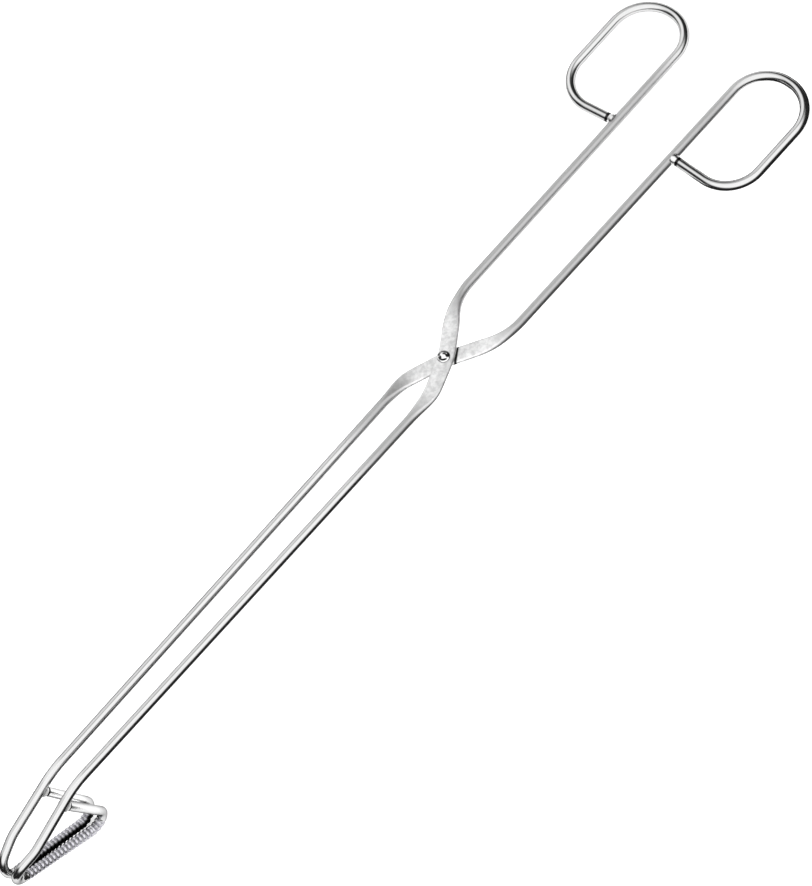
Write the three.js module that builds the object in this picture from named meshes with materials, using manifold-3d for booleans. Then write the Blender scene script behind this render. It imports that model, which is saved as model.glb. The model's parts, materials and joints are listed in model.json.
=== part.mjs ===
// Long crucible tongs: two bent round steel rods that cross at a riveted pivot.
// Each rod ends in a closed finger loop at one end and in a closed, hanging jaw loop,
// with a ribbed gripping bar, at the other. Millimetres; the tongs lie at rest on z = 0.
import * as THREE from "three";
import { mergeVertices } from "three/addons/utils/BufferGeometryUtils.js";
import Module from "manifold-3d";

const wasm = await Module();
wasm.setup();

// Driving dimensions. In the tongs' own plane, +X runs from the pivot to the handles,
// +Y to the thumb loop, and +Z out of the rivet's domed head.
const ROD_R = 3; // round rod
const FLAT_HALF_WIDTH = 5.3; // pressed flat at the pivot
const FLAT_HALF_THICK = 1.3;
const FLAT_GAP = 0.3; // between the two flats
const FLAT_FULL = 20; // from the pivot: full flat inside this, round rod past FLAT_END
const FLAT_END = 47;
const FLAT_STEP = 3; // between rings where the flat runs out
const PIVOT_BEND_R = 60;
const HANDLE_BEND_R = 45;
const JAW_BEND_R = 34;

// Each arm is bent by hand, so the two differ a little. y is always the distance from the
// long axis. The thumb arm's handle and loop are on the +Y side (side 1) and its jaw on the
// other, and its flat lies on top.
const THUMB_ARM = {
  side: 1,
  // Foot and heel of the closing leg, top and outer side of the loop, and the radii of its
  // corners: by the handle, at the outer side and at the heel.
  loop: { footX: 185.2, heelX: 179.7, topX: 262.2, outerY: 68.3, topR: 20.5, outerR: 25, heelR: 22 },
  handle: { fromX: 36, fromY: 21.9, topY: 21.9 },
  flat: { midX: 1, midY: -1.3 },
  jaw: { fromX: -24, fromY: 10.4, dropY: 8.7, noseY: 9.3 },
};
const FINGER_ARM = {
  side: -1,
  loop: { footX: 185.8, heelX: 185.3, topX: 267.1, outerY: 72.6, topR: 24, outerR: 24, heelR: 24 },
  handle: { fromX: 33.6, fromY: 21.5, topY: 23 },
  flat: { midX: 0, midY: 0 },
  jaw: { fromX: -25.6, fromY: 10.6, dropY: 8.8, noseY: 9.5 },
};

// The jaw corners, where the shank drops, turns in, and doubles back, and its last bend.
const JAW_DROP_X = -352;
const JAW_NOSE_X = -394;
const JAW_NOSE_Z = -19.5;
const JAW_TIP = new THREE.Vector3(-424.4, 3.05, -33.3);
const JAW_HEEL = new THREE.Vector3(-328.5, 4.4, -73.5);
const JAW_DROP_R = 42;
const JAW_NOSE_R = 30;
const JAW_TIP_R = 10;
const JAW_HEEL_R = 8.5;
const JAW_CLOSE_X = -364; // where the closing leg meets the jaw shank

const RIB_PITCH = 3.3;
const RIB_COUNT = 16;
const RIB_HEIGHT = 0.35; // above the rod
const GROOVE_DEPTH = 0.25; // into the rod
const RIB_CREST = [0.3, 0.6]; // of the pitch, where a rib is at its full height
const RIB_FOOT = 0.9; // of the pitch, where the next groove starts

const WELD_R = 3.9; // weld bead round the end of a closing leg
const WELD_INTO_ROD = 1.6;

const RIVET_SHANK_R = 2.5;
const RIVET_CLEARANCE = 0.1;
const RIVET_HEAD_R = 4.1;
const RIVET_HEAD_H = 2.7;
const RIVET_TAIL_R = 4.2;
const RIVET_TAIL_H = 1.6;
const RIVET_TAIL_FACE_R = 3; // the flat end of the tail
const RIVET_TAIL_EDGE_H = 0.7; // of its straight rim
const RIVET_SEAT_GAP = 0.3; // under the head and over the tail

// At rest the tongs stand on both finger loops and on the heel of one jaw.
const REST_PITCH = THREE.MathUtils.degToRad(6.083);
const REST_ROLL = THREE.MathUtils.degToRad(-0.344);

const ROD_SIDES = 12;
const ARC_STEP = THREE.MathUtils.degToRad(15);
const RIVET_SIDES = 32;
const DOME_STEPS = 6;
const WELD_SIDES = 16;
const DRILL_REACH = 10; // past the flats, above and below
const MERGE_WITHIN = 1e-4;

const Z = new THREE.Vector3(0, 0, 1);

function steel(name, color, roughness) {
  return new THREE.MeshStandardMaterial({ name, color, roughness, metalness: 1 });
}

const satinSteel = steel("satin_steel", 0xc4c5c6, 0.34);
const brightSteel = steel("bright_steel", 0xd6d7d9, 0.16);

// A rod bent like wire: straight lines between corners, each corner rounded to its radius.
// Gives the pieces in order, each with a length and a point for a distance along it.
function bentPath(corners) {
  const pieces = [];
  let from = corners[0].at;
  for (let i = 1; i < corners.length - 1; i++) {
    const { at, r } = corners[i];
    const into = at.clone().sub(corners[i - 1].at).normalize();
    const out = corners[i + 1].at.clone().sub(at).normalize();
    const turn = into.angleTo(out);
    const tangent = r * Math.tan(turn / 2);
    const start = at.clone().addScaledVector(into, -tangent);
    pieces.push(linePiece(from, start));
    pieces.push(arcPiece(start, into, out, r, turn));
    from = at.clone().addScaledVector(out, tangent);
  }
  pieces.push(linePiece(from, corners.at(-1).at));
  return pieces;
}

function linePiece(a, b) {
  const length = a.distanceTo(b);
  return { arc: false, length, turn: 0, point: (s) => a.clone().lerp(b, s / length) };
}

function arcPiece(start, into, out, r, turn) {
  const inward = out.clone().addScaledVector(into, -out.dot(into)).normalize();
  const point = (s) =>
    start
      .clone()
      .addScaledVector(into, r * Math.sin(s / r))
      .addScaledVector(inward, r * (1 - Math.cos(s / r)));
  return { arc: true, length: r * turn, turn, point };
}

// 1 inside the full flat, 0 on the round rod, smooth between.
function flatness(point) {
  const away = Math.hypot(point.x, point.y);
  return 1 - THREE.MathUtils.smoothstep(away, FLAT_FULL, FLAT_END);
}

// The rings that a rod's surface passes through: centre, half width and half thickness.
function rodRings(pieces, layer) {
  const rings = [];
  const bar = pieces.length - 3; // the straight gripping bar of the jaw
  const add = (point, swell) => {
    const flat = flatness(point);
    const thick = THREE.MathUtils.lerp(ROD_R, FLAT_HALF_THICK, flat) + swell;
    const width = THREE.MathUtils.lerp(ROD_R, FLAT_HALF_WIDTH, flat) + swell;
    point.z += layer * flat;
    rings.push({ point, width, thick });
  };
  pieces.forEach((piece, index) => {
    for (const { s, swell } of stations(piece, index === bar)) add(piece.point(s), swell);
  });
  add(pieces.at(-1).point(pieces.at(-1).length), 0);
  return rings;
}

// Distances along one piece at which a ring is needed, with what a rib adds to its radius.
function stations(piece, ribbed) {
  if (piece.arc) {
    const steps = Math.ceil(piece.turn / ARC_STEP);
    return evenly(piece.length, steps);
  }
  if (ribbed) return ribStations(piece.length);
  const close = evenly(piece.length, Math.ceil(piece.length / FLAT_STEP));
  return close.filter(({ s }) => s === 0 || nearFlat(piece.point(s)));
}

function nearFlat(point) {
  return Math.hypot(point.x, point.y) < FLAT_END + FLAT_STEP;
}

function evenly(length, steps) {
  return Array.from({ length: steps }, (_, i) => ({ s: (length * i) / steps, swell: 0 }));
}

function ribStations(length) {
  const first = (length - RIB_COUNT * RIB_PITCH) / 2;
  const list = [{ s: 0, swell: 0 }];
  for (let i = 0; i < RIB_COUNT; i++) {
    const s = first + i * RIB_PITCH;
    list.push({ s, swell: -GROOVE_DEPTH });
    list.push({ s: s + RIB_PITCH * RIB_CREST[0], swell: RIB_HEIGHT });
    list.push({ s: s + RIB_PITCH * RIB_CREST[1], swell: RIB_HEIGHT });
    list.push({ s: s + RIB_PITCH * RIB_FOOT, swell: -GROOVE_DEPTH });
  }
  return list;
}

// Unit tangents at the rings, and normals carried along the rod from the ring nearest
// the pivot, where the normal is +Z, so that the pressed flat lies in the tongs' plane.
function rodFrames(rings) {
  const last = rings.length - 1;
  const tangents = rings.map((_, i) => {
    const before = rings[Math.max(i - 1, 0)].point;
    const after = rings[Math.min(i + 1, last)].point;
    return after.clone().sub(before).normalize();
  });
  const away = rings.map(({ point }) => Math.hypot(point.x, point.y));
  const seed = away.indexOf(Math.min(...away));
  const normals = new Array(rings.length);
  const carry = (i, normal) => {
    normals[i] = normal.clone().addScaledVector(tangents[i], -normal.dot(tangents[i]));
    normals[i].normalize();
  };
  carry(seed, Z);
  for (let i = seed + 1; i <= last; i++) carry(i, normals[i - 1]);
  for (let i = seed - 1; i >= 0; i--) carry(i, normals[i + 1]);
  return { tangents, normals };
}

// One closed skin through the rings: a round section that turns into a flat bar with
// rounded edges where its width is more than its thickness.
function rodGeometry(rings) {
  const { tangents, normals } = rodFrames(rings);
  const position = [];
  const index = [];
  rings.forEach(({ point, width, thick }, i) => {
    const side = new THREE.Vector3().crossVectors(normals[i], tangents[i]);
    for (let k = 0; k < ROD_SIDES; k++) {
      const angle = ((k + 0.5) / ROD_SIDES) * 2 * Math.PI;
      const across = Math.cos(angle) * thick + Math.sign(Math.cos(angle)) * (width - thick);
      const p = point
        .clone()
        .addScaledVector(side, across)
        .addScaledVector(normals[i], Math.sin(angle) * thick);
      position.push(p.x, p.y, p.z);
    }
  });
  const at = (i, k) => i * ROD_SIDES + (k % ROD_SIDES);
  for (let i = 0; i < rings.length - 1; i++) {
    for (let k = 0; k < ROD_SIDES; k++) {
      index.push(at(i, k), at(i, k + 1), at(i + 1, k + 1));
      index.push(at(i, k), at(i + 1, k + 1), at(i + 1, k));
    }
  }
  for (let k = 1; k < ROD_SIDES - 1; k++) {
    index.push(at(0, 0), at(0, k + 1), at(0, k));
    index.push(at(rings.length - 1, 0), at(rings.length - 1, k), at(rings.length - 1, k + 1));
  }
  const geometry = new THREE.BufferGeometry();
  geometry.setAttribute("position", new THREE.Float32BufferAttribute(position, 3));
  geometry.setIndex(index);
  return geometry;
}

// A short round bar from a to b, with its end radii: weld beads and drill cuts.
function taperBar(a, b, ra, rb, sides) {
  const length = a.distanceTo(b);
  const geometry = new THREE.CylinderGeometry(rb, ra, length, sides);
  const up = new THREE.Vector3(0, 1, 0);
  const turn = new THREE.Quaternion().setFromUnitVectors(up, b.clone().sub(a).normalize());
  const middle = a.clone().lerp(b, 0.5);
  return geometry.applyQuaternion(turn).translate(middle.x, middle.y, middle.z);
}

function toSolid(geometry) {
  const bare = geometry.clone();
  bare.deleteAttribute("normal");
  bare.deleteAttribute("uv");
  const merged = mergeVertices(bare, MERGE_WITHIN);
  const vertProperties = Float32Array.from(merged.attributes.position.array);
  const triVerts = Uint32Array.from(merged.index.array);
  return new wasm.Manifold(new wasm.Mesh({ numProp: 3, vertProperties, triVerts }));
}

function toGeometry(solid) {
  const mesh = solid.getMesh();
  const geometry = new THREE.BufferGeometry();
  geometry.setAttribute("position", new THREE.BufferAttribute(mesh.vertProperties, 3));
  geometry.setIndex(new THREE.BufferAttribute(mesh.triVerts, 1));
  geometry.computeVertexNormals();
  return geometry;
}

// A closing leg stops on the surface of the shank that it is welded to.
function legEnd(corner, foot) {
  const back = corner.clone().sub(foot).normalize();
  return foot.clone().addScaledVector(back, ROD_R);
}

function weldBead(corner, foot) {
  const back = corner.clone().sub(foot).normalize();
  const inShank = foot.clone().addScaledVector(back, ROD_R - WELD_INTO_ROD);
  const onLeg = foot.clone().addScaledVector(back, ROD_R + WELD_INTO_ROD);
  return toSolid(taperBar(inShank, onLeg, WELD_R, ROD_R, WELD_SIDES));
}

// A point on the straight line from a to b, at the given x.
function alongLine(a, b, x) {
  return a.clone().lerp(b, (x - a.x) / (b.x - a.x));
}

function armGeometry({ side, loop, handle, flat, jaw }) {
  const inPlane = (x, y) => new THREE.Vector3(x, side * y, 0);
  const inJaw = (x, y, z) => new THREE.Vector3(x, -side * y, z);
  const handleBend = inPlane(handle.fromX, handle.fromY);
  const loopTop = inPlane(loop.topX, handle.topY);
  const loopHeel = inPlane(loop.heelX, loop.outerY);
  const loopFoot = alongLine(handleBend, loopTop, loop.footX);
  const drop = inJaw(JAW_DROP_X, jaw.dropY, 0);
  const nose = inJaw(JAW_NOSE_X, jaw.noseY, JAW_NOSE_Z);
  const jawHeel = inJaw(...JAW_HEEL.toArray());
  const jawFoot = alongLine(drop, nose, JAW_CLOSE_X);
  const corners = [
    { at: legEnd(loopHeel, loopFoot) },
    { at: loopHeel, r: loop.heelR },
    { at: inPlane(loop.topX, loop.outerY), r: loop.outerR },
    { at: loopTop, r: loop.topR },
    { at: handleBend, r: HANDLE_BEND_R },
    { at: inPlane(flat.midX, flat.midY), r: PIVOT_BEND_R },
    { at: inJaw(jaw.fromX, jaw.fromY, 0), r: JAW_BEND_R },
    { at: drop, r: JAW_DROP_R },
    { at: nose, r: JAW_NOSE_R },
    { at: inJaw(...JAW_TIP.toArray()), r: JAW_TIP_R },
    { at: jawHeel, r: JAW_HEEL_R },
    { at: legEnd(jawHeel, jawFoot) },
  ];
  const layer = side * (FLAT_HALF_THICK + FLAT_GAP / 2);
  const rod = toSolid(rodGeometry(rodRings(bentPath(corners), layer)));
  const drillR = RIVET_SHANK_R + RIVET_CLEARANCE;
  const below = new THREE.Vector3(0, 0, -DRILL_REACH);
  const above = new THREE.Vector3(0, 0, DRILL_REACH);
  const drill = toSolid(taperBar(below, above, drillR, drillR, RIVET_SIDES));
  return toGeometry(
    rod
      .add(weldBead(loopHeel, loopFoot))
      .add(weldBead(jawHeel, jawFoot))
      .subtract(drill)
  );
}

// Domed head on top, plain shank through both flats, low formed tail underneath.
function rivetGeometry() {
  const stack = 2 * FLAT_HALF_THICK + FLAT_GAP / 2 + RIVET_SEAT_GAP;
  const profile = [new THREE.Vector2(0, -stack - RIVET_TAIL_H)];
  profile.push(new THREE.Vector2(RIVET_TAIL_FACE_R, -stack - RIVET_TAIL_H));
  profile.push(new THREE.Vector2(RIVET_TAIL_R, -stack - RIVET_TAIL_EDGE_H));
  profile.push(new THREE.Vector2(RIVET_TAIL_R, -stack));
  profile.push(new THREE.Vector2(RIVET_SHANK_R, -stack));
  profile.push(new THREE.Vector2(RIVET_SHANK_R, stack));
  for (let i = 0; i < DOME_STEPS; i++) {
    const angle = (i / DOME_STEPS) * (Math.PI / 2);
    const r = RIVET_HEAD_R * Math.cos(angle);
    profile.push(new THREE.Vector2(r, stack + RIVET_HEAD_H * Math.sin(angle)));
  }
  profile.push(new THREE.Vector2(0, stack + RIVET_HEAD_H));
  const geometry = new THREE.LatheGeometry(profile, RIVET_SIDES);
  return geometry.rotateX(Math.PI / 2);
}

function named(name, geometry, material) {
  const mesh = new THREE.Mesh(geometry, material);
  mesh.name = name;
  return mesh;
}

// Turns the tongs to their rest, then puts the middle of their box on the origin, on z = 0.
function layDown(group) {
  const roll = new THREE.Matrix4().makeRotationX(REST_ROLL);
  const turn = new THREE.Matrix4().makeRotationY(REST_PITCH).premultiply(roll);
  group.children.forEach((mesh) => mesh.geometry.applyMatrix4(turn));
  const box = new THREE.Box3().setFromObject(group, true);
  const middle = box.getCenter(new THREE.Vector3());
  group.children.forEach((mesh) => mesh.geometry.translate(-middle.x, -middle.y, -box.min.z));
}

const tongs = new THREE.Group();
tongs.add(
  named("thumb_arm", armGeometry(THUMB_ARM), satinSteel),
  named("finger_arm", armGeometry(FINGER_ARM), satinSteel),
  named("pivot_rivet", rivetGeometry(), brightSteel)
);
layDown(tongs);

export default tongs;
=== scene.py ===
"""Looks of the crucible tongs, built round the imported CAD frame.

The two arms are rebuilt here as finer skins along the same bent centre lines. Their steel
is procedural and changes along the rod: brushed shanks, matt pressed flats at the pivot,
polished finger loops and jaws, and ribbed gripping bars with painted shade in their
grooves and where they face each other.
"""

import json
import math

import bpy
import numpy as np
from mathutils import Matrix, Vector
from mathutils.kdtree import KDTree


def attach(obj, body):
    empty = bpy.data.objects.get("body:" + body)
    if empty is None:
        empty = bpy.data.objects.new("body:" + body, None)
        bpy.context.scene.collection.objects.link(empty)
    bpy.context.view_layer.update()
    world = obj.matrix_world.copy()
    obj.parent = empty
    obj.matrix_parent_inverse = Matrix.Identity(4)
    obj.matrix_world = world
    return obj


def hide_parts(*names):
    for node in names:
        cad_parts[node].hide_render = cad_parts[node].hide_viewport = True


MM = 0.001

# Rod, flats and ribs, in millimetres.
ROD_R = 3.0
END_SUNK = 1.2  # how far a rod's end goes into the rod it is welded to
FLAT_HALF_WIDTH = 5.3
FLAT_HALF_THICK = 1.3
FLAT_GAP = 0.3
FLAT_FULL = 20.0  # from the pivot: full flat inside this, round rod past FLAT_END
FLAT_END = 47.0
RIB_PITCH = 3.3
RIB_HEIGHT = 0.35
GROOVE_DEPTH = 0.25
RIB_SHARPNESS = 0.8  # under 1 widens the crests, over 1 the grooves
RIB_RUN_IN = 3.5
RIBBED_HEEL = 0.6  # the part of the heel bend that the ribs carry on round

# Vertices round a rod, and the distance between its rings.
SIDES = 36
RIB_STEP = 0.22
BEND_STEP = 1.0
STRAIGHT_STEP = 4.0

# The rivet: radii, heights, and outlines as (radius, height past the seat), in millimetres.
RIVET_SHANK_R = 2.5
RIVET_SEAT_GAP = 0.3  # under the head and over the tail
RIVET_TAIL_H = 1.6
RIVET_TAIL_FACE_R = 3.0
RIVET_TAIL_EDGE_R = 1.1  # the rounded edge of the tail: width, height and where it starts
RIVET_TAIL_EDGE_H = 1.0
RIVET_TAIL_EDGE_FROM = 0.6
RIVET_TAIL_EDGE_ANGLES = np.linspace(0.2, 1.5, 7)
RIVET_TAIL_FOOT = ((4.1, 0.15), (3.95, 0.0))
RIVET_HEAD = (
    (4.0, 0.0), (4.1, 0.15), (4.0, 0.4), (3.6, 0.55), (3.2, 0.75), (2.8, 1.1),
    (2.3, 1.6), (1.8, 2.1), (1.3, 2.45), (0.8, 2.62), (0.4, 2.68), (0.0, 2.7),
)
RIVET_SIDES = 64
HOLE_R = 2.6
DRILL_REACH = 8.0

# A weld bead's outline as (radius, height over the shank's surface), and its lumps.
WELD_BEAD = (
    (0.0, -1.5), (4.1, -1.5), (4.05, -0.6), (3.8, 0.1),
    (3.5, 0.7), (3.25, 1.15), (3.06, 1.6), (0.0, 1.6),
)
WELD_SIDES = 48
WELD_LUMPS = 4
WELD_LUMP_SIZE = 0.03

SMOOTH_BELOW = math.radians(50)

# The centre line of each arm in the tongs' own plane: +X to the handles, pivot at 0, 0.
HANDLE_BEND_R = 45.0
PIVOT_BEND_R = 60.0
JAW_BEND_R = 34.0
DROP_X, DROP_R = -352.0, 42.0
NOSE_X, NOSE_Z, NOSE_R = -394.0, -19.5, 30.0
TIP, TIP_R = (-424.4, 3.05, -33.3), 10.0
HEEL, HEEL_R = (-328.5, 4.4, -73.5), 8.5
JAW_CLOSE_X = -364.0
# Per arm: the finger loop, the flat's middle and bends, and the jaw shank's offsets.
ARMS = {
    "thumb": dict(
        side=1, foot_x=185.2, heel_x=179.7, top_x=262.2, outer_y=68.3, top_r=20.5,
        outer_r=25.0, heel_r=22.0, mid=(1.0, -1.3), handle=(36.0, 21.9), top_y=21.9,
        jaw=(-24.0, 10.4), drop_y=8.7, nose_y=9.3,
    ),
    "finger": dict(
        side=-1, foot_x=185.8, heel_x=185.3, top_x=267.1, outer_y=72.6, top_r=24.0,
        outer_r=24.0, heel_r=24.0, mid=(0.0, 0.0), handle=(33.6, 21.5), top_y=23.0,
        jaw=(-25.6, 10.6), drop_y=8.8, nose_y=9.5,
    ),
}

# How the tongs' plane tilts when they lie closed on the table.
REST_PITCH = math.radians(6.083)
REST_ROLL = math.radians(-0.344)

# Steel finishes, and painted highlight and shade: grey levels, as (dark, bright) where they are
# mottled, and roughness.
BRUSHED, BRUSHED_ROUGH = (0.32, 0.56), 0.42
POLISHED, POLISHED_ROUGH = (0.46, 0.60), 0.14
PRESSED, PRESSED_ROUGH = (0.66, 0.90), 0.5
PRESSED_MOTTLE = (0.3, 0.7)  # of the noise, where the grey goes from dark to bright
LEG_HIGHLIGHT = 0.88  # painted highlight: the jaw's closing leg painted near white
# The gripping bars' crests, and their grooves painted darker as painted shade.
GRIP_CREST, GROOVE_SHADE = (0.62, 0.62, 0.64, 1.0), (0.40, 0.39, 0.44, 1.0)
GRIP_ROUGH = 0.30
BAR_SHADE = 0.012  # painted shade where the gripping bars face each other
WELD_BAND_AND_EDGE_SHADOW = 0.03  # a dark band near the welds, and the painted shadow beside the upper flat's edge
# Painted shade in the crease round the foot of the rivet's dome.
CREASE_SHADE = 0.01
ROUGH_SPREAD = 0.10
EDGE_TINT, POLISHED_EDGE_TINT = 0.9, 0.25  # the metal's reflection at grazing angles

# Where the finishes and the painted light and shade change, in millimetres along the rod from the
# finger loop's weld.
LOOP_END = 190.0
JAW_FROM = 480.0
POLISH_RUN = 40.0
LEG_HIGHLIGHT_END = (38.0, 54.0)  # where the closing leg's painted highlight fades, from the rod's end
WELD_DARK_BAND, WELD_DARK_BAND_SOFT = (3.2, 4.6), 0.5  # a dark band round the rod near each weld, from the rod's end
CREASE, CREASE_SOFT = (1.9, 3.2), 0.4  # where the crease's painted shade lies, from the rivet's axis, on the side of its dome
CREASE_BREAKS = (0.40, 0.50)  # of the noise that breaks the crease's painted shade up
EDGE_SHADOW, EDGE_SHADOW_SOFT = (6.4, 7.6), 0.3  # painted shadow of the upper flat's edge on the lower flat, from the upper flat's middle line
BAR_SHADE_FACING = (0.3, 0.75)  # how squarely the surface faces the other bar, for the painted shade there

# Noise. The drawn rod's goes this far per millimetre along the rod, on a circle of this
# radius round it. The other scales are per metre.
DRAWN_ALONG, DRAWN_AROUND = 0.035, 7.0
MOTTLE_SCALE = 330.0
BROKEN_SCALE = 260.0

# The studio, in metres. KEY_EDGE and HORIZON_EDGE are angles from the middle of the large
# light, and SIDE_EDGE from the middle of the small one.
FLOOR_HALF = 4.0
FLOOR_DROP = 0.0003  # under the tongs
FLOOR_FAR = (0.55, 1.1)  # from the middle, where the floor turns darker
FLOOR_GREY = (0.93, 0.45)  # near and far, painted darker far away as a painted falloff of light
FLOOR_GLOW = (0.55, 0.1)  # near and far
KEY_LEVEL = 1.7
KEY_EDGE = (math.radians(40), math.radians(62))
HORIZON_EDGE = (math.radians(98), math.radians(112))
SIDE_LIGHT = Vector((0.0, 0.73, 0.68))
SIDE_LEVEL = 1.5
SIDE_EDGE = (math.radians(18), math.radians(40))
DARK_LEVEL = 0.03
CARD_OPENING = (-0.42, 0.42, -0.030, 0.11)  # low and high X, low and high Y
CARD_HALF = 3.0
CARD_HEIGHT = 0.001
CARD_GREY = (0.01, 0.03)

# The camera's axes in the tongs' own plane, and the height of its picture in metres.
CAMERA_RIGHT = Vector((0.64635, -0.74213, -0.17738))
CAMERA_BACK = Vector((-0.27221, -0.44143, 0.85501))
AIM_RIGHT = -22.9  # from the pivot to the middle of the picture, in millimetres
AIM_UP = -50.5
PICTURE_HEIGHT = 0.5316
LENS = 1200.0
SENSOR = 36.0
CLIP = (1.0, 100.0)


# ---------------------------------------------------------------- centre lines


def bent_path(corners):
    """Pieces of a wire path: (is arc, length, point at distance), in order."""
    pieces = []
    start = np.array(corners[0][0])
    for (a, _), (at, r), (b, _) in zip(corners, corners[1:], corners[2:]):
        at, a, b = np.array(at), np.array(a), np.array(b)
        into = (at - a) / np.linalg.norm(at - a)
        out = (b - at) / np.linalg.norm(b - at)
        turn = math.acos(np.clip(into @ out, -1, 1))
        tangent = r * math.tan(turn / 2)
        pieces.append(line_piece(start, at - into * tangent))
        pieces.append(arc_piece(at - into * tangent, into, out, r, turn))
        start = at + out * tangent
    pieces.append(line_piece(start, np.array(corners[-1][0])))
    return pieces


def line_piece(a, b):
    length = np.linalg.norm(b - a)
    return False, length, lambda s: a + (b - a) * (s / length)


def arc_piece(start, into, out, r, turn):
    inward = out - into * (out @ into)
    inward /= np.linalg.norm(inward)

    def point(s):
        return start + into * r * math.sin(s / r) + inward * r * (1 - math.cos(s / r))

    return True, r * turn, point


def arm_corners(arm):
    """The (corner, bend radius) pairs of an arm, and the two legs that are welded back to
    it: the finger loop's and the jaw's."""
    side = arm["side"]

    def plane(x, y):
        return np.array((x, side * y, 0.0))

    def jaw(corner):
        return np.array((corner[0], -side * corner[1], corner[2]))

    drop, nose = jaw((DROP_X, arm["drop_y"], 0.0)), jaw((NOSE_X, arm["nose_y"], NOSE_Z))
    tip, heel = jaw(TIP), jaw(HEEL)
    bend, top = plane(*arm["handle"]), plane(arm["top_x"], arm["top_y"])
    loop_heel = plane(arm["heel_x"], arm["outer_y"])
    loop_foot = bend + (top - bend) * ((arm["foot_x"] - bend[0]) / (top[0] - bend[0]))
    jaw_foot = drop + (nose - drop) * ((JAW_CLOSE_X - drop[0]) / (nose[0] - drop[0]))
    corners = [
        (on_surface(loop_heel, loop_foot), 0),
        (loop_heel, arm["heel_r"]),
        (plane(arm["top_x"], arm["outer_y"]), arm["outer_r"]),
        (top, arm["top_r"]),
        (bend, HANDLE_BEND_R),
        (plane(*arm["mid"]), PIVOT_BEND_R),
        (plane(arm["jaw"][0], -arm["jaw"][1]), JAW_BEND_R),
        (drop, DROP_R),
        (nose, NOSE_R),
        (tip, TIP_R),
        (heel, HEEL_R),
        (on_surface(heel, jaw_foot), 0),
    ]
    return corners, (loop_heel, loop_foot), (heel, jaw_foot)


def on_surface(corner, foot):
    """Where a closing leg from corner to foot ends, just inside the shank's surface."""
    back = (corner - foot) / np.linalg.norm(corner - foot)
    return foot + back * (ROD_R - END_SUNK)


def flatness(p):
    """1 in the pressed flat, 0 in the round rod."""
    t = np.clip((math.hypot(p[0], p[1]) - FLAT_FULL) / (FLAT_END - FLAT_FULL), 0, 1)
    return 1 - t * t * (3 - 2 * t)


# ---------------------------------------------------------------- rods


def stations(corners, side):
    """Rings along one rod: point, half width, half thickness and what its surface is."""
    pieces = bent_path(corners)
    bar, bar_heel = len(pieces) - 3, len(pieces) - 2  # the last piece is the closing leg
    layer = side * (FLAT_HALF_THICK + FLAT_GAP / 2)
    rings, travelled = [], 0.0
    total = sum(p[1] for p in pieces)
    for index, (is_arc, length, point) in enumerate(pieces):
        flattened = any(flatness(point(length * t)) > 0 for t in (0, 0.5, 1))
        if index in (bar, bar_heel):
            step = RIB_STEP
        elif is_arc or flattened:
            step = BEND_STEP
        else:
            step = STRAIGHT_STEP
        count = max(1, math.ceil(length / step))
        for i in range(count + (index == len(pieces) - 1)):
            s = length * i / count
            p = point(s).copy()
            flat = flatness(p)
            rib = rib_amount(s, length, index == bar, index == bar_heel)
            swell = (RIB_HEIGHT + GROOVE_DEPTH) * rib[1] - GROOVE_DEPTH * rib[0]
            thick = ROD_R + (FLAT_HALF_THICK - ROD_R) * flat + swell
            width = ROD_R + (FLAT_HALF_WIDTH - ROD_R) * flat + swell
            p[2] += layer * flat
            along = travelled + s
            rings.append(dict(
                p=p, width=width, thick=thick, along=along, flat=flat, rib=rib[0],
                groove=rib[0] * (1 - rib[1]), end=min(along, total - along),
            ))
        travelled += length
    return rings


def rib_amount(s, length, on_bar, on_heel):
    """How ribbed the rod is here, and how near this is to a rib's crest."""
    if on_bar:
        into = min(s / RIB_RUN_IN, 1)
    elif on_heel:
        into = np.clip((length * RIBBED_HEEL - s) / RIB_RUN_IN, 0, 1)
    else:
        return 0.0, 0.0
    phase = (s % RIB_PITCH) / RIB_PITCH
    crest = (0.5 - 0.5 * math.cos(2 * math.pi * phase)) ** RIB_SHARPNESS
    return float(into), float(into * crest)


def ring_frames(rings):
    """Each ring's point, direction and upward normal, carried from the pivot without twist."""
    points = np.array([r["p"] for r in rings])
    tangents = np.gradient(points, axis=0)
    tangents /= np.linalg.norm(tangents, axis=1)[:, None]
    normals = np.zeros_like(points)
    seed = int(np.argmin(np.hypot(points[:, 0], points[:, 1])))

    def carry(i, n):
        n = n - tangents[i] * (n @ tangents[i])
        normals[i] = n / np.linalg.norm(n)

    carry(seed, np.array((0.0, 0.0, 1.0)))
    for i in range(seed + 1, len(rings)):
        carry(i, normals[i - 1])
    for i in range(seed - 1, -1, -1):
        carry(i, normals[i + 1])
    return points, tangents, normals


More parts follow.
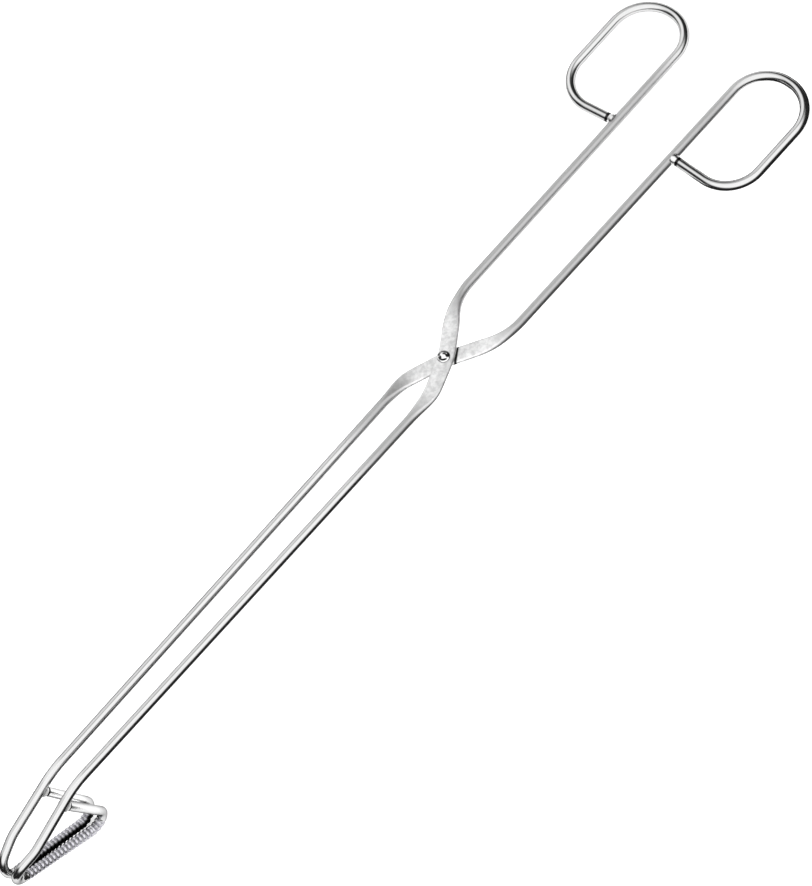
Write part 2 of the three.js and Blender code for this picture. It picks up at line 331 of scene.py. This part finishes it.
def rod_mesh(name, corners, side):
    rings = stations(corners, side)
    points, tangents, normals = ring_frames(rings)
    sides = np.cross(normals, tangents)
    angles = (np.arange(SIDES) + 0.5) / SIDES * 2 * math.pi
    verts, marks = [], []
    for i, ring in enumerate(rings):
        flat_part = ring["width"] - ring["thick"]
        for a in angles:
            across = math.cos(a) * ring["thick"] + math.copysign(flat_part, math.cos(a))
            up = normals[i] * math.sin(a) * ring["thick"]
            verts.append(points[i] + sides[i] * across + up)
            facing = (sides[i] * math.cos(a) + normals[i] * math.sin(a))[1] * side
            marks.append((ring["along"], a, ring["flat"], ring["rib"], ring["groove"],
                          ring["end"], facing))
    last = (len(rings) - 1) * SIDES
    faces = []
    for i in range(0, last, SIDES):
        for k in range(SIDES):
            a, b = i + k, i + (k + 1) % SIDES
            faces.append((a, b, b + SIDES, a + SIDES))
    faces.append(tuple(range(SIDES - 1, -1, -1)))
    faces.append(tuple(last + k for k in range(SIDES)))
    mesh = bpy.data.meshes.new(name)
    mesh.from_pydata([tuple(v * MM) for v in verts], [], faces)
    mesh.validate()
    rod = add_object(name, mesh)
    cut_hole(rod)
    put_marks(rod.data, verts, marks)
    rod.data.transform(TONGS)
    smooth(rod)
    return rod


# Millimetres along the rod, angle round it, how flat, ribbed and deep in a groove it is,
# millimetres to the nearer end, and how squarely it faces the other arm.
MARKS = ("along", "around", "flat", "rib", "groove", "end", "facing")


def put_marks(mesh, verts, marks):
    """Writes each vertex's place on the rod as attributes for the material to read."""
    tree = KDTree(len(verts))
    for i, v in enumerate(verts):
        tree.insert(Vector(v * MM), i)
    tree.balance()
    found = [tree.find(v.co)[1] for v in mesh.vertices]
    table = np.array(marks)[found]
    for column, name in enumerate(MARKS):
        layer = mesh.attributes.new(name, "FLOAT", "POINT")
        layer.data.foreach_set("value", table[:, column].astype(np.float32))


def cut_hole(rod):
    low, high = -DRILL_REACH, DRILL_REACH
    profile = [(0, low), (HOLE_R, low), (HOLE_R, high), (0, high)]
    drill = add_object("drill", lathe_mesh("drill", profile, RIVET_SIDES))
    cut = rod.modifiers.new("hole", "BOOLEAN")
    cut.operation, cut.object, cut.solver = "DIFFERENCE", drill, "EXACT"
    done = rod.evaluated_get(bpy.context.evaluated_depsgraph_get())
    mesh = bpy.data.meshes.new_from_object(done)
    rod.modifiers.clear()
    rod.data = mesh
    bpy.data.objects.remove(drill)


# ---------------------------------------------------------------- small parts


def lathe_mesh(name, profile, sides):
    """A closed solid of revolution about Z from (radius, height) pairs, ends on the axis."""
    rings = [p for p in profile if p[0] > 0]
    verts = [(r * math.cos(t) * MM, r * math.sin(t) * MM, z * MM)
             for r, z in rings for t in np.arange(sides) / sides * 2 * math.pi]
    bottom, top = len(verts), len(verts) + 1
    verts += [(0, 0, profile[0][1] * MM), (0, 0, profile[-1][1] * MM)]
    faces = []
    for i in range(len(rings) - 1):
        for k in range(sides):
            a, b = i * sides + k, i * sides + (k + 1) % sides
            faces.append((a, b, b + sides, a + sides))
    last = (len(rings) - 1) * sides
    for k in range(sides):
        faces.append((bottom, (k + 1) % sides, k))
        faces.append((top, last + k, last + (k + 1) % sides))
    mesh = bpy.data.meshes.new(name)
    mesh.from_pydata(verts, [], faces)
    return mesh


def rivet():
    seat = 2 * FLAT_HALF_THICK + FLAT_GAP / 2 + RIVET_SEAT_GAP
    profile = [(0, -seat - RIVET_TAIL_H), (RIVET_TAIL_FACE_R, -seat - RIVET_TAIL_H)]
    for a in RIVET_TAIL_EDGE_ANGLES:
        radius = RIVET_TAIL_FACE_R + RIVET_TAIL_EDGE_R * math.sin(a)
        profile.append((radius, -seat - RIVET_TAIL_EDGE_FROM - RIVET_TAIL_EDGE_H * math.cos(a)))
    profile += [(r, -seat - h) for r, h in RIVET_TAIL_FOOT]
    profile += [(RIVET_SHANK_R, -seat), (RIVET_SHANK_R, seat)]
    profile += [(r, seat + h) for r, h in RIVET_HEAD]
    mesh = lathe_mesh("rivet", profile, RIVET_SIDES)
    mesh.transform(TONGS)
    piece = add_object("rivet_domed", mesh)
    smooth(piece)
    return piece


def weld(name, corner, foot):
    """A lumpy fillet of weld metal where a closing leg meets its shank."""
    back = Vector((corner - foot) / np.linalg.norm(corner - foot))
    turn = Vector((0, 0, 1)).rotation_difference(back).to_matrix().to_4x4()
    profile = [(r, ROD_R + h) for r, h in WELD_BEAD]
    mesh = lathe_mesh(name, profile, WELD_SIDES)
    rng = np.random.default_rng(len(name))
    phases = rng.uniform(0, 2 * math.pi, WELD_LUMPS)
    for v in mesh.vertices:
        a = math.atan2(v.co.y, v.co.x)
        waves = sum(math.sin((k + 2) * a + phases[k]) / (k + 1) for k in range(WELD_LUMPS))
        lump = 1 + WELD_LUMP_SIZE * waves
        v.co.x *= lump
        v.co.y *= lump
    mesh.transform(Matrix.Translation(Vector(foot * MM)) @ turn)
    mesh.transform(TONGS)
    piece = add_object(name, mesh)
    smooth(piece)
    return piece


def add_object(name, mesh):
    obj = bpy.data.objects.new(name, mesh)
    bpy.context.scene.collection.objects.link(obj)
    return obj


def smooth(obj):
    for polygon in obj.data.polygons:
        polygon.use_smooth = True
    bpy.context.view_layer.objects.active = obj
    obj.select_set(True)
    bpy.ops.object.shade_smooth_by_angle(angle=SMOOTH_BELOW)
    obj.select_set(False)


# ---------------------------------------------------------------- materials


class Nodes:
    """A short way to write a node tree."""

    def __init__(self, tree):
        self.tree = tree
        tree.nodes.clear()

    def add(self, kind, **values):
        node = self.tree.nodes.new(kind)
        for key, value in values.items():
            setattr(node, key, value)
        return node

    def link(self, out, into):
        self.tree.links.new(out, into)

    def feed(self, socket, value):
        if isinstance(value, (int, float, tuple)):
            socket.default_value = value
        else:
            self.link(value, socket)

    def math(self, operation, a, b=0.0):
        node = self.add("ShaderNodeMath", operation=operation)
        self.feed(node.inputs[0], a)
        self.feed(node.inputs[1], b)
        return node.outputs[0]

    def mix(self, factor, a, b):
        node = self.add("ShaderNodeMix", data_type="FLOAT")
        for socket, value in zip((node.inputs[0], node.inputs[2], node.inputs[3]), (factor, a, b)):
            self.feed(socket, value)
        return node.outputs[0]

    def mix_color(self, factor, a, b):
        node = self.add("ShaderNodeMix", data_type="RGBA")
        for socket, value in zip((node.inputs[0], node.inputs[6], node.inputs[7]), (factor, a, b)):
            self.feed(socket, value)
        return node.outputs[2]

    def mark(self, name):
        return self.add("ShaderNodeAttribute", attribute_name=name).outputs["Fac"]

    def ramp(self, value, low, high):
        """0 below low, 1 above high."""
        node = self.add("ShaderNodeMapRange", interpolation_type="SMOOTHSTEP")
        self.feed(node.inputs["Value"], value)
        node.inputs["From Min"].default_value = low
        node.inputs["From Max"].default_value = high
        return node.outputs["Result"]

    def fade(self, value, low, high):
        """1 below low, 0 above high."""
        return self.math("SUBTRACT", 1.0, self.ramp(value, low, high))

    def band(self, value, low, high, soft):
        """1 between low and high, 0 outside."""
        rise = self.ramp(value, low - soft, low)
        return self.math("MULTIPLY", rise, self.fade(value, high, high + soft))

    def noise(self, vector, scale, detail=4.0, rough=0.6):
        node = self.add("ShaderNodeTexNoise")
        self.link(vector, node.inputs["Vector"])
        node.inputs["Scale"].default_value = scale
        node.inputs["Detail"].default_value = detail
        node.inputs["Roughness"].default_value = rough
        return node.outputs["Fac"]

    def vector(self, x, y, z):
        node = self.add("ShaderNodeCombineXYZ")
        for socket, value in zip(node.inputs, (x, y, z)):
            self.feed(socket, value)
        return node.outputs[0]

    def position(self):
        return self.add("ShaderNodeTexCoord").outputs["Object"]

    def vector_math(self, operation, vector, fixed):
        """The node of a vector operation between a socket and a fixed vector."""
        node = self.add("ShaderNodeVectorMath", operation=operation)
        self.link(vector, node.inputs[0])
        node.inputs[1].default_value = tuple(fixed)
        return node

    def length(self, vector):
        node = self.add("ShaderNodeVectorMath", operation="LENGTH")
        self.link(vector, node.inputs[0])
        return node.outputs["Value"]

    def output(self, shader, kind="ShaderNodeOutputMaterial"):
        self.link(shader.outputs[0], self.add(kind).inputs[0])


def new_material(name):
    material = bpy.data.materials.new(name)
    material.use_nodes = True
    return material, Nodes(material.node_tree)


def grey(value):
    return (value, value, value, 1.0)


def metal(n, color, rough, relief, strength, depth):
    """A metal shader on the material's output, with a fine relief depth millimetres high."""
    shader = n.add("ShaderNodeBsdfPrincipled")
    n.feed(shader.inputs["Base Color"], color)
    n.feed(shader.inputs["Roughness"], rough)
    shader.inputs["Metallic"].default_value = 1.0
    bump = n.add("ShaderNodeBump")
    bump.inputs["Strength"].default_value = strength
    bump.inputs["Distance"].default_value = depth * MM
    n.link(relief, bump.inputs["Height"])
    n.link(bump.outputs[0], shader.inputs["Normal"])
    n.output(shader)
    return shader


def matt(n, color, rough, specular):
    """A matt shader on the material's output."""
    shader = n.add("ShaderNodeBsdfPrincipled")
    n.feed(shader.inputs["Base Color"], color)
    shader.inputs["Roughness"].default_value = rough
    shader.inputs["Specular IOR Level"].default_value = specular
    n.output(shader)
    return shader


def rod_steel(shadowed):
    """The steel of a rod, which changes along it, and on the lower arm a painted shadow too."""
    material, n = new_material("rod_steel")
    along, around, flat, rib, groove, end, facing = [n.mark(name) for name in MARKS]
    drawn = n.noise(n.vector(
        n.math("MULTIPLY", along, DRAWN_ALONG),
        n.math("MULTIPLY", n.math("COSINE", around), DRAWN_AROUND),
        n.math("MULTIPLY", n.math("SINE", around), DRAWN_AROUND),
    ), 1.0)
    position = n.position()
    mottle = n.noise(position, MOTTLE_SCALE)

    jaw = n.ramp(along, JAW_FROM, JAW_FROM + POLISH_RUN)
    polish = n.math("MAXIMUM", jaw, n.fade(along, LOOP_END - POLISH_RUN, LOOP_END))
    brushed = n.mix_color(drawn, *map(grey, BRUSHED))
    polished = n.mix_color(drawn, *map(grey, POLISHED))
    color = n.mix_color(polish, brushed, polished)
    # Painted highlight: the jaw's closing leg painted near white.
    leg_highlight = n.math("MULTIPLY", jaw, n.fade(end, *LEG_HIGHLIGHT_END))
    color = n.mix_color(leg_highlight, color, grey(LEG_HIGHLIGHT))
    pressed = n.mix_color(n.ramp(mottle, *PRESSED_MOTTLE), *map(grey, PRESSED))
    color = n.mix_color(flat, color, pressed)
    # Painted shade: the ribs' grooves painted darker than their crests.
    grip = n.mix_color(groove, GRIP_CREST, GROOVE_SHADE)
    # Painted shade: the gripping bars painted near black where they face each other.
    grip = n.mix_color(n.ramp(facing, *BAR_SHADE_FACING), grip, grey(BAR_SHADE))
    color = n.mix_color(rib, color, grip)
    # A dark band round the rod near each weld.
    color = n.mix_color(n.band(end, *WELD_DARK_BAND, WELD_DARK_BAND_SOFT), color, grey(WELD_BAND_AND_EDGE_SHADOW))
    # Painted shadow: a dark line on the lower flat beside the upper flat's edge.
    if shadowed:
        color = n.mix_color(edge_shadow(n, position), color, grey(WELD_BAND_AND_EDGE_SHADOW))

    rough = n.mix(polish, BRUSHED_ROUGH, POLISHED_ROUGH)
    rough = n.mix(rib, n.mix(flat, rough, PRESSED_ROUGH), GRIP_ROUGH)
    uneven = n.math("MULTIPLY", n.math("SUBTRACT", drawn, 0.5), ROUGH_SPREAD)
    rough = n.math("ADD", rough, uneven)
    shader = metal(n, color, rough, n.mix(flat, drawn, mottle), strength=0.25, depth=0.12)
    tint = n.mix_color(polish, grey(EDGE_TINT), grey(POLISHED_EDGE_TINT))
    n.feed(shader.inputs["Specular Tint"], tint)
    return material


def edge_shadow(n, position):
    """The painted shadow that the upper flat's edge casts on the lower flat: a dark line beside
    it.
    """
    thumb = ARMS["thumb"]
    along = Vector((thumb["handle"][0] - thumb["mid"][0], thumb["handle"][1] - thumb["mid"][1], 0))
    across = TONGS.to_3x3() @ Vector((along.y, -along.x, 0)).normalized()
    reach = n.vector_math("DOT_PRODUCT", position, across / MM).outputs["Value"]
    start = (TONGS.translation / MM).dot(across)
    return n.band(n.math("SUBTRACT", reach, start), *EDGE_SHADOW, EDGE_SHADOW_SOFT)


def rivet_crease_shade(n, position):
    """Painted shade round the foot of the rivet's dome, broken here and there."""
    axis = TONGS.to_3x3() @ Vector((0, 0, 1))
    offset = n.vector_math("SUBTRACT", position, TONGS.translation).outputs[0]
    radius = n.length(n.vector_math("CROSS_PRODUCT", offset, axis / MM).outputs[0])
    broken = n.ramp(n.noise(position, BROKEN_SCALE, detail=1.0, rough=0.55), *CREASE_BREAKS)
    return n.math("MULTIPLY", n.band(radius, *CREASE, CREASE_SOFT), broken)


def plain_steel(name, greys, rough, scale, painted_shade=None):
    """Mottled steel. A function given as the last argument says where painted shade darkens it."""
    material, n = new_material(name)
    position = n.position()
    spots = n.noise(position, scale)
    color = n.mix_color(spots, *map(grey, greys))
    # Painted shade, where the given function says.
    if painted_shade:
        color = n.mix_color(painted_shade(n, position), color, grey(CREASE_SHADE))
    rough = n.mix(spots, rough * 0.7, rough * 1.3)
    metal(n, color, rough, spots, strength=0.2, depth=0.1)
    return material


# ---------------------------------------------------------------- studio


def sheet(name, half, height, opening=None):
    """A level square in the studio, with a rectangular opening or none."""
    verts = [(-half, -half, 0), (half, -half, 0), (half, half, 0), (-half, half, 0)]
    faces = [(0, 1, 2, 3)]
    if opening:
        x0, x1, y0, y1 = opening
        verts += [(x0, y0, 0), (x1, y0, 0), (x1, y1, 0), (x0, y1, 0)]
        faces = [(k, (k + 1) % 4, (k + 1) % 4 + 4, k + 4) for k in range(4)]
    mesh = bpy.data.meshes.new(name)
    mesh.from_pydata(verts, [], faces)
    obj = add_object(name, mesh)
    obj.location.z = height
    return obj


def floor():
    """Pale paper, glowing a little near the tongs as if lit from below, and painted darker far
    away as a painted falloff of light.
    """
    obj = sheet("floor", FLOOR_HALF, -FLOOR_DROP)
    material, n = new_material("floor_paper")
    far = n.ramp(n.length(n.position()), *FLOOR_FAR)
    color = n.mix_color(far, *map(grey, FLOOR_GREY))
    shader = matt(n, color, rough=0.9, specular=0.1)
    n.feed(shader.inputs["Emission Color"], grey(1.0))
    n.feed(shader.inputs["Emission Strength"], n.mix(far, *FLOOR_GLOW))
    obj.data.materials.append(material)


def studio_world():
    """A large soft light over the camera's shoulder, a smaller one to the side and a low
    strip beyond the tongs, in a dark room, so that polished rods carry dark lines."""
    world = bpy.data.worlds.new("studio")
    bpy.context.scene.world = world
    world.use_nodes = True
    n = Nodes(world.node_tree)
    direction = n.add("ShaderNodeTexCoord").outputs["Generated"]
    away = angle_to(n, direction, TONGS.to_3x3() @ CAMERA_BACK)
    room = n.math("MULTIPLY", n.ramp(away, *KEY_EDGE), n.fade(away, *HORIZON_EDGE))
    fill = n.fade(angle_to(n, direction, SIDE_LIGHT), *SIDE_EDGE)
    level = n.mix(room, KEY_LEVEL, n.mix(fill, DARK_LEVEL, SIDE_LEVEL))
    background = n.add("ShaderNodeBackground")
    background.inputs["Color"].default_value = (1, 1, 1, 1)
    n.link(level, background.inputs["Strength"])
    n.output(background, "ShaderNodeOutputWorld")


def angle_to(n, direction, axis):
    dot = n.vector_math("DOT_PRODUCT", direction, axis.normalized())
    return n.math("ARCCOSINE", dot.outputs["Value"])


def flag():
    """A black card on the table, with an opening under most of the tongs. Only reflections
    see it: it darkens one side of each rod, and it isn't in the picture itself."""
    card = sheet("black_card", CARD_HALF, CARD_HEIGHT, CARD_OPENING)
    card.visible_camera = card.visible_diffuse = card.visible_shadow = False
    card.visible_transmission = False
    material, n = new_material("card_black")
    spots = n.noise(n.position(), 3.0, detail=3.0, rough=0.55)
    matt(n, n.mix_color(spots, *map(grey, CARD_GREY)), rough=1.0, specular=0.0)
    card.data.materials.append(material)


def camera():
    turn = TONGS.to_3x3()
    right, back = turn @ CAMERA_RIGHT, turn @ CAMERA_BACK
    right.normalize()
    back.normalize()
    up = back.cross(right)
    pivot = TONGS.translation
    aim = pivot + right * AIM_RIGHT * MM + up * AIM_UP * MM
    distance = PICTURE_HEIGHT * LENS / SENSOR
    data = bpy.data.cameras.new("camera")
    data.lens, data.sensor_width = LENS, SENSOR
    data.clip_start, data.clip_end = CLIP
    obj = add_object("camera", data)
    place = Matrix((right, up, back)).transposed().to_4x4()
    place.translation = aim + back * distance
    obj.matrix_world = place
    bpy.context.scene.camera = obj


# ---------------------------------------------------------------- build

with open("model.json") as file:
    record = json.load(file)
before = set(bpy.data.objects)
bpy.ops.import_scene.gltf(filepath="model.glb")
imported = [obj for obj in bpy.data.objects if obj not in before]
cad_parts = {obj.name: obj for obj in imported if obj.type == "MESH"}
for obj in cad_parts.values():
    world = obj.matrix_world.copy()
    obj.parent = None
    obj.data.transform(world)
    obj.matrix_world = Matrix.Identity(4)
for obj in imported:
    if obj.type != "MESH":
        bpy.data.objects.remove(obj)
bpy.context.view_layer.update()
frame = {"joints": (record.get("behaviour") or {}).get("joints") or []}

pivot_joint = frame["joints"][0]
TONGS = (
    Matrix.Translation(pivot_joint["pos_m"])
    @ Matrix.Rotation(REST_ROLL, 4, "X")
    @ Matrix.Rotation(REST_PITCH, 4, "Y")
)

bright = plain_steel("rivet_steel", (0.62, 0.80), rough=0.12, scale=900.0, painted_shade=rivet_crease_shade)
bead = plain_steel("weld_steel", (0.50, 0.75), rough=0.28, scale=700.0)

for name, arm in ARMS.items():
    corners, loop_weld, jaw_weld = arm_corners(arm)
    rod = rod_mesh(f"{name}_rod", corners, arm["side"])
    rod.data.materials.clear()
    rod.data.materials.append(rod_steel(shadowed=name == "finger"))
    beads = [weld(f"{name}_loop_weld", *loop_weld), weld(f"{name}_jaw_weld", *jaw_weld)]
    for piece in [rod, *beads]:
        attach(piece, f"{name}_side")
    for piece in beads:
        piece.data.materials.append(bead)
    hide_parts(f"{name}_arm")

pin = rivet()
pin.data.materials.append(bright)
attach(pin, "finger_side")
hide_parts("pivot_rivet")

floor()
flag()
studio_world()
camera()
bpy.context.scene.view_settings.view_transform = "Standard"
